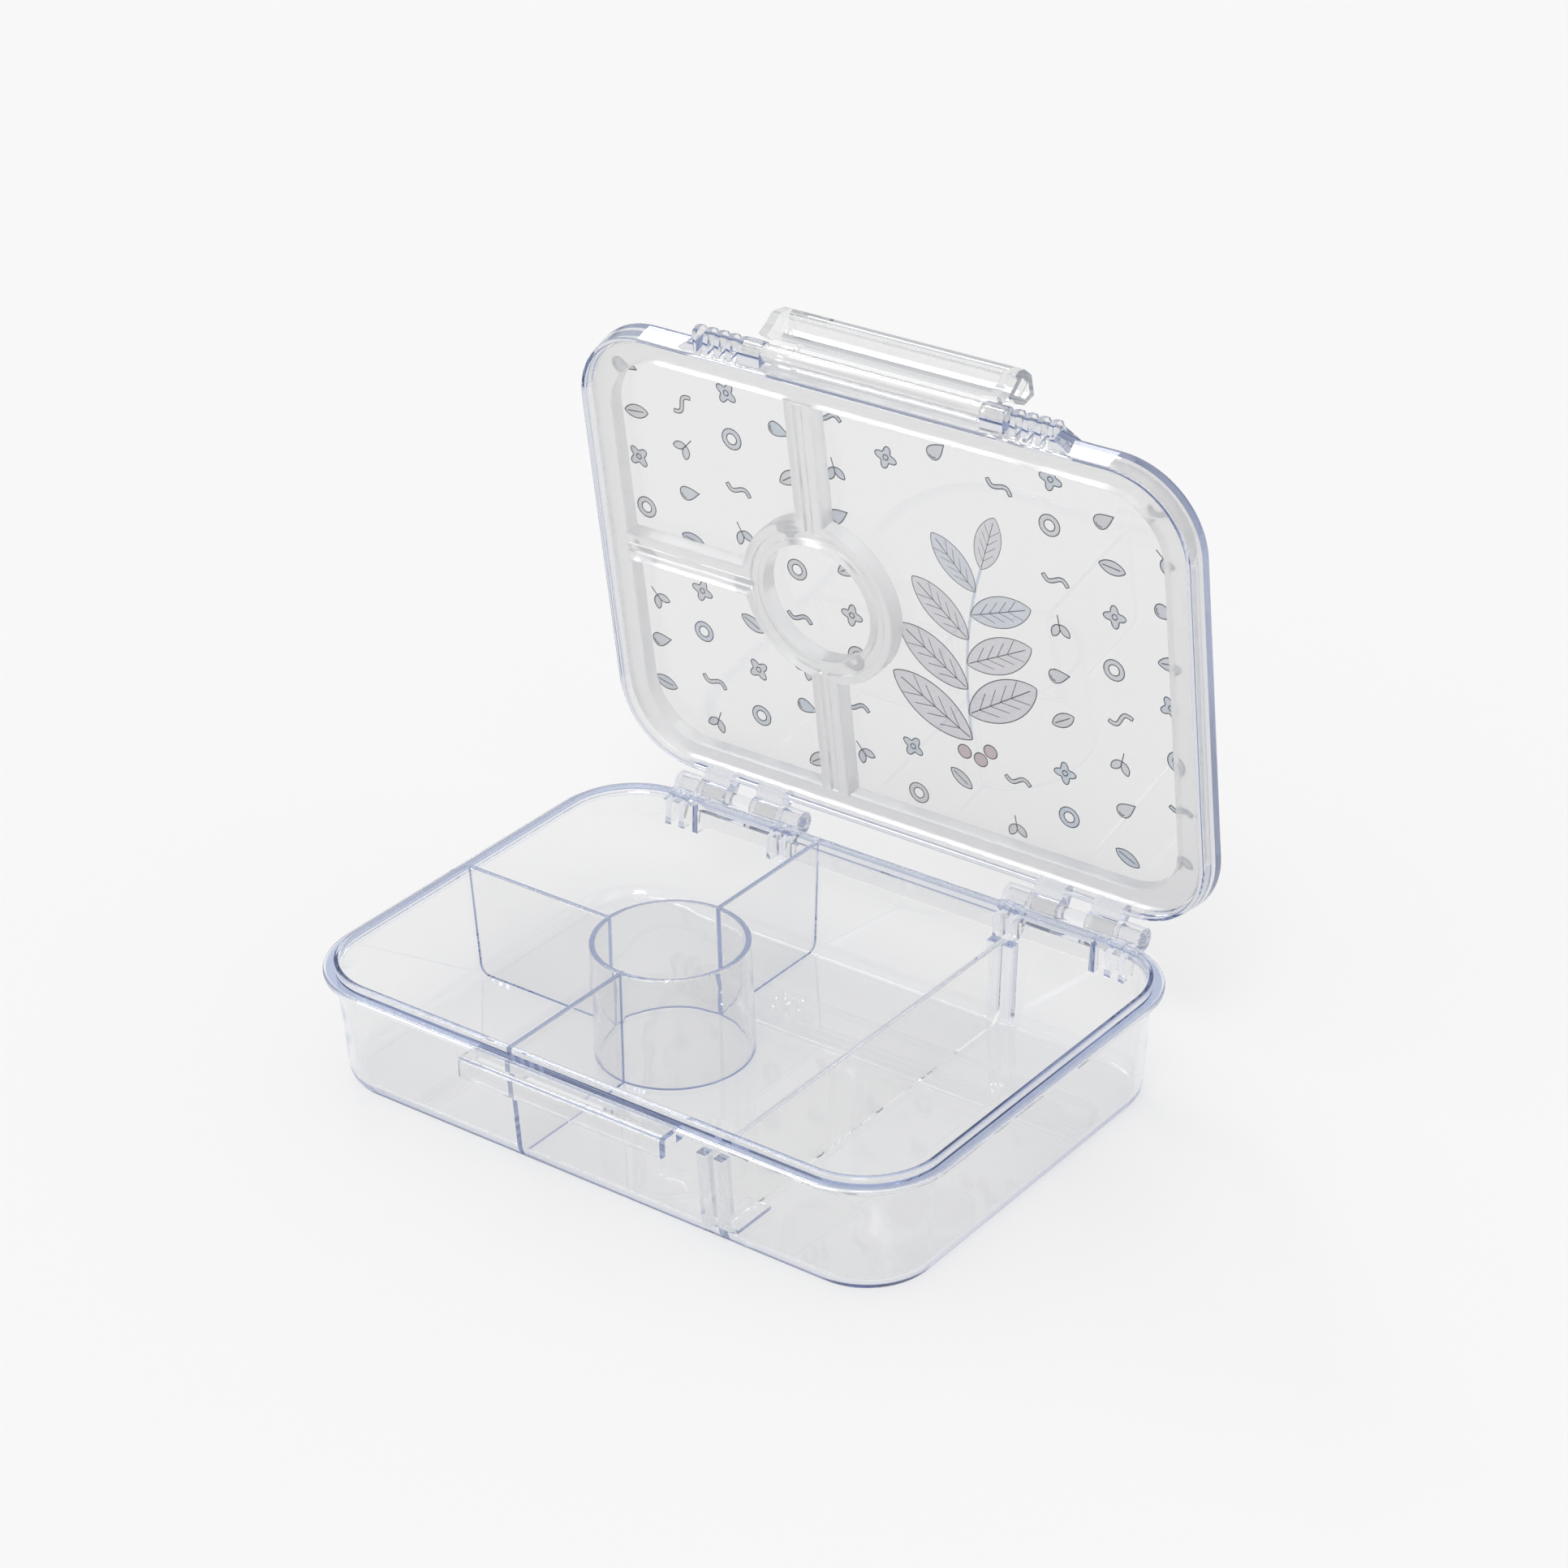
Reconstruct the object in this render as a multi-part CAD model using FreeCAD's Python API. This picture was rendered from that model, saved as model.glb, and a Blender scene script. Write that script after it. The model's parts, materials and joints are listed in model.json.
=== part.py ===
import FreeCAD, Part
import math
import os

# Hinged clear lunch box: a divided base tray, a lift-out divider, and a lid with a soft seal and a latch.
# Millimetres. Origin at the centre of the base underside, +X along the front, +Y to the hinges, +Z up.

# Driving sizes of the base tray
FLANGE_HALF_X = 110.0
FLANGE_HALF_Y = 78.6
FLANGE_CORNER = 27.6
FLANGE_TOP = 38.1
FLANGE_THICK = 2.0
LIP_HALF_X = 106.8
LIP_HALF_Y = 75.2
LIP_CORNER = 24.2
LIP_TOP = 40.2
LIP_WALL_X = 1.9
LIP_WALL_Y = 1.7
WALL_DRAFT = math.tan(math.radians(4.0))
FLOOR_THICK = 2.2
BOTTOM_ROUND = 5.0
CAVITY_ROUND = 3.4
EDGE_ROUND = 0.7

# Fixed dividers, the round cup and the lift-out divider
CUP_X = -26.5
CUP_TOP_RADIUS = 24.3
CUP_FOOT_RADIUS = 24.9
RIB_THICK = 1.8
RIB_TOP = 39.6
PANEL_X = 44.8
PANEL_THICK = 2.0
PANEL_TOP = 29.6
PANEL_END_GAP = 0.7
PANEL_FLOOR_GAP = 0.3
PANEL_FOOT_ROUND = 5.0
GUIDE_WIDTH = 9.2
GUIDE_DEPTH = 3.6
GUIDE_TOP = 28.8
GUIDE_SLOT = 2.6
NIB_WIDTH = 4.0
NIB_HEIGHT = 1.2
NIB_REAR_Y = -52.0

# Catch on the front of the base
CATCH_HALF = 36.6
CATCH_FRONT_Y = -85.0
CATCH_FOOT_Z = 30.75
CATCH_LEG = 2.4
CATCH_EDGE = 1.0
CATCH_REAR_FOOT_Z = 32.6
CATCH_DROP = 0.2

# Hinges: stations along X are the same on both sides, mirrored
HINGE_Y = 83.0
HINGE_Z = 37.8
HINGE_BARREL = 3.8
HINGE_PIN = 2.0
HINGE_MID = 63.0
PIN_GAP_HALF = 5.25
KNUCKLE_LENGTH = 10.2
EAR_LENGTH = 8.6
HINGE_SIDE_GAP = 0.35
PIN_PRESS_GAP = 0.02
PIN_RUN_GAP = 0.08
EAR_WEB = 2.5
GUSSET_THICK = 2.2
GUSSET_INSET = 0.6
GUSSET_REACH = 1.8
SWING_ROOM = 0.45
APRON_HALF = 76.0
APRON_Y = 80.2
APRON_FOOT_Z = 27.2
APRON_WALL = 2.0
APRON_CORNER = 5.0

# Lid, drawn closed and then swung open
LID_OPEN = 83.0
RIM_Z = 38.7
RIM_HALF_X = 108.9
RIM_HALF_Y = 76.9
RIM_CORNER = 26.2
CROWN_FLARE = 1.6
LID_RISE = 9.1
CROWN_ROUND = 2.0
SKIRT_HALF_X = 107.2
SKIRT_HALF_Y = 75.55
SKIRT_CORNER = 24.6
RIM_ROUND = 0.5
KNUCKLE_TOP = 1.4
PANEL_INNER = 6.9

# Seal under the lid
SEAL_HALF_X = 106.5
SEAL_HALF_Y = 74.85
SEAL_CORNER = 23.9
SEAL_OPEN_X = 99.0
SEAL_OPEN_Y = 68.2
SEAL_OPEN_CORNER = 20.0
SEAL_RIM_FACE = 2.0
SEAL_RING_FACE = 1.4
SEAL_RING_OUTER = 28.0
SEAL_RING_HOLE = 20.0
SEAL_ARM = 10.5
SEAL_GROOVE = 2.8
SEAL_GROOVE_DEPTH = 1.1
SEAL_ROUND = 1.0

# Latch on the front of the lid
LATCH_OPEN = 145.0
LATCH_Y = -81.0
LATCH_Z = RIM_Z + 5.0
LATCH_BARREL = 2.7
LATCH_PIN = 1.5
LATCH_HALF = 38.6
LATCH_END_HALF = 42.5
LATCH_FACE = 4.4
CHEEK_IN = 39.4
HOOK_SWING = 13.9
WINDOW_HALF = 33.0
EAR_IN = 39.0
EAR_OUT = 47.0
EAR_RADIUS = 3.2
EAR_SPREAD = 0.5
COMB_OUT = 64.0
COMB_RIBS = 4
COMB_RIB_THICK = 1.8
FAIRING_OUT = 71.0

HINGE_POINT = FreeCAD.Vector(0, HINGE_Y, HINGE_Z)
LATCH_POINT = FreeCAD.Vector(0, LATCH_Y, LATCH_Z)
SWING_AXIS = FreeCAD.Vector(-1, 0, 0)
OVERLAP = 1.0


def plan_wire(half_x, half_y, corner, z):
    # Rounded rectangle seen from above, at height z
    corners = []
    for quarter in range(4):
        side_x = 1 if quarter in (0, 3) else -1
        side_y = 1 if quarter in (0, 1) else -1
        centre = FreeCAD.Vector(side_x * (half_x - corner), side_y * (half_y - corner), z)
        points = []
        for step in (0, 1, 2):
            angle = math.radians(90 * quarter + 45 * step)
            points.append(centre + FreeCAD.Vector(math.cos(angle), math.sin(angle), 0) * corner)
        corners.append(points)
    edges = []
    for quarter in range(4):
        points = corners[quarter]
        next_corner = corners[(quarter + 1) % 4]
        edges.append(Part.Arc(*points).toShape())
        edges.append(Part.makeLine(points[2], next_corner[0]))
    return Part.Wire(edges)


def slab(half_x, half_y, corner, z_low, z_high):
    face = Part.Face(plan_wire(half_x, half_y, corner, z_low))
    return face.extrude(FreeCAD.Vector(0, 0, z_high - z_low))


def drafted(low, high):
    # Solid between two rounded rectangles, each given as half_x, half_y, corner, z
    return Part.makeLoft([plan_wire(*low), plan_wire(*high)], True, True)


def box(x_low, x_high, y_low, y_high, z_low, z_high):
    corner = FreeCAD.Vector(x_low, y_low, z_low)
    return Part.makeBox(x_high - x_low, y_high - y_low, z_high - z_low, corner)


def rod(x_low, x_high, y, z, radius):
    return Part.makeCylinder(radius, x_high - x_low, FreeCAD.Vector(x_low, y, z), FreeCAD.Vector(1, 0, 0))


def prism(outline, x_low, x_high):
    # Outline of (y, z) points, carried along X
    points = [FreeCAD.Vector(x_low, y, z) for y, z in outline]
    face = Part.Face(Part.makePolygon(points + [points[0]]))
    return face.extrude(FreeCAD.Vector(x_high - x_low, 0, 0))


def rounded_at(shape, z, radius):
    # Fillet of every edge that lies flat at height z
    edges = []
    for edge in shape.Edges:
        if abs(edge.BoundBox.ZMin - z) < 0.01 and abs(edge.BoundBox.ZMax - z) < 0.01:
            edges.append(edge)
    return shape.makeFillet(radius, edges)


def mirrored(shape):
    return shape.mirror(FreeCAD.Vector(0, 0, 0), FreeCAD.Vector(1, 0, 0))


def both_sides(shapes):
    return shapes + [mirrored(shape) for shape in shapes]


def joined(shapes):
    return shapes[0].multiFuse(shapes[1:]).removeSplitter()


def cavity_half_y(z):
    return LIP_HALF_Y - LIP_WALL_Y - (LIP_TOP - z) * WALL_DRAFT


def tray_envelope():
    inset = LIP_TOP * WALL_DRAFT
    low = (LIP_HALF_X - inset, LIP_HALF_Y - inset, LIP_CORNER - inset, 0)
    return rounded_at(drafted(low, (LIP_HALF_X, LIP_HALF_Y, LIP_CORNER, LIP_TOP)), 0, BOTTOM_ROUND)


def tray_cavity():
    half_x = LIP_HALF_X - LIP_WALL_X
    half_y = LIP_HALF_Y - LIP_WALL_Y
    corner = LIP_CORNER - LIP_WALL_Y
    inset = (LIP_TOP - FLOOR_THICK) * WALL_DRAFT
    low = (half_x - inset, half_y - inset, corner - inset, FLOOR_THICK)
    return rounded_at(drafted(low, (half_x, half_y, corner, LIP_TOP)), FLOOR_THICK, CAVITY_ROUND)


def tray_flange(envelope):
    plate = slab(FLANGE_HALF_X, FLANGE_HALF_Y, FLANGE_CORNER, FLANGE_TOP - FLANGE_THICK, FLANGE_TOP)
    plate = rounded_at(plate, FLANGE_TOP, EDGE_ROUND)
    plate = rounded_at(plate, FLANGE_TOP - FLANGE_THICK, EDGE_ROUND)
    return plate.cut(envelope)


def fixed_ribs(envelope, cup_core):
    half = RIB_THICK / 2
    left = box(-FLANGE_HALF_X, CUP_X, -half, half, FLOOR_THICK - OVERLAP, RIB_TOP)
    cross = box(CUP_X - half, CUP_X + half, -FLANGE_HALF_Y, FLANGE_HALF_Y, FLOOR_THICK - OVERLAP, RIB_TOP)
    ribs = []
    for rib in (left, cross):
        soft = rounded_at(rib, RIB_TOP, half * EDGE_ROUND)
        ribs.append(soft.common(envelope).cut(cup_core))
    return ribs


def cup_cone(wall, z_low, z_high):
    place = FreeCAD.Vector(CUP_X, 0, z_low)
    return Part.makeCone(CUP_FOOT_RADIUS - wall, CUP_TOP_RADIUS - wall, z_high - z_low, place)


def round_cup(cup_core):
    wall = cup_cone(0, FLOOR_THICK - OVERLAP, RIB_TOP).cut(cup_core)
    return rounded_at(wall, RIB_TOP, RIB_THICK / 2 * EDGE_ROUND)


def divider_guides(envelope, cavity):
    # A slotted block on the front and rear walls, and a low nib on the floor beside the front one
    half_slot = GUIDE_SLOT / 2
    slot = box(PANEL_X - half_slot, PANEL_X + half_slot, -FLANGE_HALF_Y, FLANGE_HALF_Y, FLOOR_THICK, LIP_TOP)
    foot_z = FLOOR_THICK - OVERLAP
    outline = [
        (cavity_half_y(FLOOR_THICK) - GUIDE_DEPTH, foot_z),
        (cavity_half_y(GUIDE_TOP) - GUIDE_DEPTH, GUIDE_TOP),
        (LIP_HALF_Y, GUIDE_TOP),
        (LIP_HALF_Y, foot_z),
    ]
    rear = prism(outline, PANEL_X - GUIDE_WIDTH / 2, PANEL_X + GUIDE_WIDTH / 2)
    front = rear.mirror(FreeCAD.Vector(0, 0, 0), FreeCAD.Vector(0, 1, 0))
    slot_in_cavity = slot.common(cavity)
    guides = [block.common(envelope).cut(slot_in_cavity) for block in (rear, front)]
    nib_x = PANEL_X + half_slot
    nib_front_y = -cavity_half_y(FLOOR_THICK) + GUIDE_DEPTH
    nib = box(nib_x, nib_x + NIB_WIDTH, nib_front_y, NIB_REAR_Y, foot_z, FLOOR_THICK + NIB_HEIGHT)
    return guides + [nib]


def front_catch():
    # Inverted channel under the front flange, open at both ends, that the latch hooks under
    wall_y = -LIP_HALF_Y + OVERLAP
    rear_leg_y = -LIP_HALF_Y - CATCH_LEG
    top_z = FLANGE_TOP - CATCH_DROP
    roof_z = FLANGE_TOP - FLANGE_THICK
    outline = [
        (wall_y, top_z),
        (CATCH_FRONT_Y, top_z),
        (CATCH_FRONT_Y, CATCH_FOOT_Z),
        (CATCH_FRONT_Y + CATCH_LEG, CATCH_FOOT_Z),
        (CATCH_FRONT_Y + CATCH_LEG, roof_z),
        (rear_leg_y, roof_z),
        (rear_leg_y, CATCH_REAR_FOOT_Z),
        (wall_y, CATCH_REAR_FOOT_Z),
    ]
    channel = prism(outline, -CATCH_HALF, CATCH_HALF)
    edges = []
    for edge in channel.Edges:
        span = edge.BoundBox
        if abs(span.YMin - CATCH_FRONT_Y) + span.YLength + span.ZLength < 0.01:
            edges.append(edge)
    return channel.makeFillet(CATCH_EDGE, edges)


def hinge_stations():
    # Distances from the middle: pin gap, knuckles and ears of the right-hand hinge
    knuckle_near = HINGE_MID - PIN_GAP_HALF
    knuckle_far = HINGE_MID + PIN_GAP_HALF
    knuckles = [(knuckle_near - KNUCKLE_LENGTH, knuckle_near), (knuckle_far, knuckle_far + KNUCKLE_LENGTH)]
    ear_in = knuckles[0][0] - HINGE_SIDE_GAP
    ear_out = knuckles[1][1] + HINGE_SIDE_GAP
    ears = [(ear_in - EAR_LENGTH, ear_in), (ear_out, ear_out + EAR_LENGTH)]
    return knuckles, ears


def hinge_ears():
    ears = []
    for x_low, x_high in hinge_stations()[1]:
        barrel = rod(x_low, x_high, HINGE_Y, HINGE_Z, HINGE_BARREL)
        web_top = FLANGE_TOP - CATCH_DROP
        web = box(x_low, x_high, LIP_HALF_Y - OVERLAP, HINGE_Y, web_top - EAR_WEB, web_top)
        solids = [barrel, web]
        wall_y = LIP_HALF_Y - 2 * OVERLAP
        outline = [
            (wall_y, FLANGE_TOP - FLANGE_THICK),
            (HINGE_Y + GUSSET_REACH, FLANGE_TOP - FLANGE_THICK),
            (APRON_Y, APRON_FOOT_Z),
            (wall_y, APRON_FOOT_Z),
        ]
        for gusset_x in (x_low + GUSSET_INSET, x_high - GUSSET_INSET - GUSSET_THICK):
            solids.append(prism(outline, gusset_x, gusset_x + GUSSET_THICK))
        ears.append(joined(solids))
    return both_sides(ears)


def rear_apron():
    # Hanging skirt below the rear flange that ties the hinge ears together, open underneath
    depth = APRON_Y - LIP_HALF_Y / 2
    roof_z = FLANGE_TOP - FLANGE_THICK
    inner_corner = APRON_CORNER - APRON_WALL
    outer = slab(APRON_HALF, depth, APRON_CORNER, APRON_FOOT_Z, roof_z + OVERLAP / 2)
    inner = slab(APRON_HALF - APRON_WALL, depth - APRON_WALL, inner_corner, APRON_FOOT_Z, roof_z - OVERLAP)
    skirt = outer.cut(inner)
    skirt.translate(FreeCAD.Vector(0, APRON_Y - depth, 0))
    return skirt


def base_tray():
    envelope = tray_envelope()
    cavity = tray_cavity()
    shell = rounded_at(envelope.cut(cavity), LIP_TOP, EDGE_ROUND)
    cup_core = cup_cone(RIB_THICK, FLOOR_THICK, RIB_TOP)
    outside = [tray_flange(envelope), front_catch().cut(envelope), rear_apron().cut(envelope)]
    outside += [ear.cut(envelope) for ear in hinge_ears()]
    inside = fixed_ribs(envelope, cup_core) + [round_cup(cup_core)] + divider_guides(envelope, cavity)
    tray = joined([shell] + outside + inside)
    knuckles = hinge_stations()[0]
    swing_low = knuckles[0][0] - HINGE_SIDE_GAP
    swing_high = knuckles[1][1] + HINGE_SIDE_GAP
    swing_room = rod(swing_low, swing_high, HINGE_Y, HINGE_Z, HINGE_BARREL + SWING_ROOM)
    bore_low, bore_high = pin_span()
    bore = rod(bore_low, bore_high, HINGE_Y, HINGE_Z, HINGE_PIN + PIN_PRESS_GAP)
    for cutter in both_sides([swing_room, bore]):
        tray = tray.cut(cutter)
    return tray


def pin_span():
    ears = hinge_stations()[1]
    return ears[0][0] + OVERLAP, ears[1][1] - OVERLAP


def hinge_pin():
    low, high = pin_span()
    return rod(low + PIN_PRESS_GAP, high - PIN_PRESS_GAP, HINGE_Y, HINGE_Z, HINGE_PIN)


def divider_panel():
    foot_z = FLOOR_THICK + PANEL_FLOOR_GAP
    foot = cavity_half_y(foot_z) - PANEL_END_GAP
    top = cavity_half_y(PANEL_TOP) - PANEL_END_GAP
    cut = PANEL_FOOT_ROUND
    outline = [(-foot + cut, foot_z), (foot - cut, foot_z), (foot, foot_z + cut), (top, PANEL_TOP)]
    outline += [(-top, PANEL_TOP), (-foot, foot_z + cut)]
    panel = prism(outline, PANEL_X - PANEL_THICK / 2, PANEL_X + PANEL_THICK / 2)
    return rounded_at(panel, PANEL_TOP, EDGE_ROUND)


def lid_body():
    crown_z = RIM_Z + LID_RISE
    flared = (RIM_HALF_X + CROWN_FLARE, RIM_HALF_Y + CROWN_FLARE, RIM_CORNER + CROWN_FLARE, crown_z)
    outer = rounded_at(drafted((RIM_HALF_X, RIM_HALF_Y, RIM_CORNER, RIM_Z), flared), crown_z, CROWN_ROUND)
    inner = slab(SKIRT_HALF_X, SKIRT_HALF_Y, SKIRT_CORNER, RIM_Z - OVERLAP, RIM_Z + PANEL_INNER)
    return rounded_at(outer.cut(inner), RIM_Z, RIM_ROUND), inner


def lid_knuckles():
    knuckles = []
    skirt_y = (SKIRT_HALF_Y + RIM_HALF_Y) / 2
    top_z = RIM_Z + LID_RISE - KNUCKLE_TOP
    lean = math.radians(65)
    for x_low, x_high in hinge_stations()[0]:
        barrel = rod(x_low, x_high, HINGE_Y, HINGE_Z, HINGE_BARREL)
        outline = [
            (skirt_y, RIM_Z + RIM_ROUND),
            (HINGE_Y - HINGE_BARREL, RIM_Z + RIM_ROUND / 2),
            (HINGE_Y, HINGE_Z),
            (HINGE_Y + HINGE_BARREL * math.cos(lean), HINGE_Z + HINGE_BARREL * math.sin(lean)),
            (RIM_HALF_Y + CROWN_FLARE * 0.75, top_z),
            (skirt_y, top_z),
        ]
        knuckles.append(barrel.fuse(prism(outline, x_low, x_high)))
    return both_sides(knuckles)


def latch_ears():
    # A solid bearing next to the latch, then a comb of ribs under a cap, then a sloped fairing
    back_y = -(SKIRT_HALF_Y + RIM_HALF_Y) / 2
    low_z = LATCH_Z - EAR_RADIUS - EAR_SPREAD
    high_z = LATCH_Z + EAR_RADIUS + EAR_SPREAD
    outline = [(back_y, low_z)]
    for angle in (-90, -45, 0, 45, 90):
        out = EAR_RADIUS * math.cos(math.radians(angle))
        rise = EAR_RADIUS * math.sin(math.radians(angle))
        outline.append((LATCH_Y - out, LATCH_Z + rise))
    outline.append((back_y, high_z))
    solids = [prism(outline, EAR_IN, EAR_OUT)]
    pitch = (COMB_OUT - EAR_OUT) / COMB_RIBS
    for number in range(COMB_RIBS):
        rib_high = EAR_OUT + pitch * (number + 1)
        solids.append(prism(outline, rib_high - COMB_RIB_THICK, rib_high))
    cap = [
        (back_y, high_z),
        (LATCH_Y, LATCH_Z + EAR_RADIUS),
        (LATCH_Y, LATCH_Z + EAR_RADIUS - COMB_RIB_THICK),
        (back_y, high_z - COMB_RIB_THICK),
    ]
    solids.append(prism(cap, EAR_OUT - OVERLAP, COMB_OUT))
    slope = [
        FreeCAD.Vector(COMB_OUT - COMB_RIB_THICK / 2, back_y, low_z),
        FreeCAD.Vector(COMB_OUT - COMB_RIB_THICK / 2, LATCH_Y, low_z),
        FreeCAD.Vector(FAIRING_OUT, back_y, low_z),
    ]
    fairing = Part.Face(Part.makePolygon(slope + [slope[0]]))
    solids.append(fairing.extrude(FreeCAD.Vector(0, 0, high_z - low_z)))
    return both_sides([joined(solids)])


def lid_shell():
    body, skirt_room = lid_body()
    shell = joined([body] + lid_knuckles() + latch_ears()).cut(skirt_room)
    low, high = pin_span()
    hinge_bore = rod(low, high, HINGE_Y, HINGE_Z, HINGE_PIN + PIN_RUN_GAP)
    latch_bore = rod(-latch_pin_half(), latch_pin_half(), LATCH_Y, LATCH_Z, LATCH_PIN + PIN_PRESS_GAP)
    for cutter in both_sides([hinge_bore]) + [latch_bore]:
        shell = shell.cut(cutter)
    return shell


def latch_pin_half():
    return EAR_OUT - OVERLAP


def latch_pin():
    half = latch_pin_half() - PIN_PRESS_GAP
    return rod(-half, half, LATCH_Y, LATCH_Z, LATCH_PIN)


def lid_seal():
    back_z = RIM_Z + PANEL_INNER
    rim_face = RIM_Z + SEAL_RIM_FACE
    ring_face = RIM_Z + SEAL_RING_FACE
    opening = slab(SEAL_OPEN_X, SEAL_OPEN_Y, SEAL_OPEN_CORNER, rim_face - OVERLAP, back_z + OVERLAP)
    frame = slab(SEAL_HALF_X, SEAL_HALF_Y, SEAL_CORNER, rim_face, back_z)
    frame = rounded_at(frame, rim_face, SEAL_ROUND).cut(opening)
    half = SEAL_ARM / 2
    reach_y = SEAL_OPEN_Y + OVERLAP
    cross = box(CUP_X - half, CUP_X + half, -reach_y, reach_y, ring_face, back_z)
    left = box(-SEAL_OPEN_X - OVERLAP, CUP_X, -half, half, ring_face, back_z)
    height = back_z - ring_face
    place = FreeCAD.Vector(CUP_X, 0, ring_face)
    ring = rounded_at(Part.makeCylinder(SEAL_RING_OUTER, height, place), ring_face, SEAL_ROUND)
    hole = Part.makeCylinder(SEAL_RING_HOLE, height, place)
    arms = [rounded_at(arm, ring_face, SEAL_ROUND) for arm in (cross, left)]
    seal = joined([frame, ring] + arms).cut(hole)
    return seal.cut(seal_grooves(ring_face))


def seal_grooves(ring_face):
    # Shallow channels that line up with the fixed dividers and the cup edge
    half = SEAL_GROOVE / 2
    top = ring_face + SEAL_GROOVE_DEPTH
    cross = box(CUP_X - half, CUP_X + half, -SEAL_OPEN_Y, SEAL_OPEN_Y, ring_face, top)
    left = box(-SEAL_OPEN_X, CUP_X, -half, half, ring_face, top)
    centre = CUP_TOP_RADIUS - RIB_THICK / 2
    place = FreeCAD.Vector(CUP_X, 0, ring_face)
    outer = Part.makeCylinder(centre + half, SEAL_GROOVE_DEPTH, place)
    inner = Part.makeCylinder(centre - half, SEAL_GROOVE_DEPTH, place)
    within = Part.makeCylinder(centre, SEAL_GROOVE_DEPTH, place)
    return joined([cross.cut(within), left.cut(within), outer.cut(inner)])


def latch_outline(points):
    # Points are (out from the pivot, up from the pivot) with the latch shut
    return [(LATCH_Y - out, LATCH_Z + rise) for out, rise in points]


def latch_grip():
    # Hollow finger grip along the free edge, with the hook's upper face on the swing circle
    outer_side = [(LATCH_FACE, -7.3), (7.2, -7.2), (11.6, -9.2), (13.9, -13.9), (8.0, -17.3)]
    hook_side = [(3.3, -16.6), (2.6, -13.0), (LATCH_FACE, -12.4)]
    outline = outer_side + hook_side
    hollow = [(6.3, -9.4), (10.4, -10.7), (11.5, -13.1), (7.6, -15.3), (6.3, -15.1)]
    grip = prism(latch_outline(outline), -LATCH_END_HALF, LATCH_END_HALF)
    swing = rod(-LATCH_END_HALF, LATCH_END_HALF, LATCH_Y, LATCH_Z, HOOK_SWING)
    face_y = LATCH_Y - LATCH_FACE
    behind = box(-LATCH_END_HALF, LATCH_END_HALF, face_y, LATCH_Y, LATCH_Z - HOOK_SWING, LATCH_Z)
    grip = grip.cut(swing.common(behind))
    return grip.cut(prism(latch_outline(hollow), -LATCH_END_HALF, LATCH_END_HALF))


def latch_cheeks():
    # End plates that straddle the catch and reach up past the lid's bearings
    inner_side = [(-2.3, -4.3), (-1.5, -8.3), (-1.4, -12.0), (-0.2, -13.6), (3.3, -16.6)]
    outer_side = [(8.0, -17.3), (8.0, -9.0), (LATCH_FACE, -7.3), (1.9, -4.8)]
    cheek = prism(latch_outline(inner_side + outer_side), CHEEK_IN, LATCH_END_HALF)
    return both_sides([cheek])


def latch_flap():
    barrel = rod(-LATCH_HALF, LATCH_HALF, LATCH_Y, LATCH_Z, LATCH_BARREL)
    outer_side = [(2.6, 0), (3.6, -1.6), (5.2, -3.0), (6.8, -5.2), (7.2, -8.2)]
    inner_side = [(LATCH_FACE, -8.2), (LATCH_FACE, -5.2), (2.6, -3.2), (0, -2.6)]
    web = prism(latch_outline(outer_side + inner_side), -LATCH_HALF, LATCH_HALF)
    opening = latch_outline([(2.0, -3.6), (3.0, -1.2), (9.0, -1.2), (9.0, -6.6), (2.0, -6.6)])
    flap = joined([barrel, web, latch_grip()] + latch_cheeks())
    flap = flap.cut(prism(opening, -WINDOW_HALF, WINDOW_HALF))
    return flap.cut(rod(-LATCH_HALF, LATCH_HALF, LATCH_Y, LATCH_Z, LATCH_PIN + PIN_RUN_GAP))


def swung_open(shape):
    turned = shape.copy()
    turned.rotate(HINGE_POINT, SWING_AXIS, LID_OPEN)
    return turned


def build():
    flap = latch_flap()
    flap.rotate(LATCH_POINT, SWING_AXIS, LATCH_OPEN)
    pin = hinge_pin()
    nodes = {
        "base_tray": base_tray(),
        "hinge_pin_left": mirrored(pin),
        "hinge_pin_right": pin,
        "divider_panel": divider_panel(),
        "lid_shell": swung_open(lid_shell()),
        "lid_seal": swung_open(lid_seal()),
        "latch_pin": swung_open(latch_pin()),
        "latch_flap": swung_open(flap),
    }
    os.makedirs("parts", exist_ok=True)
    for name, shape in nodes.items():
        shape.exportStep("parts/" + name + ".step")
        print(name, len(shape.Solids), shape.isValid(), round(shape.Volume / 1000, 1))


build()
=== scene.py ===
import json
import math

import bmesh
import bpy
from mathutils import Matrix, Vector

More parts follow.
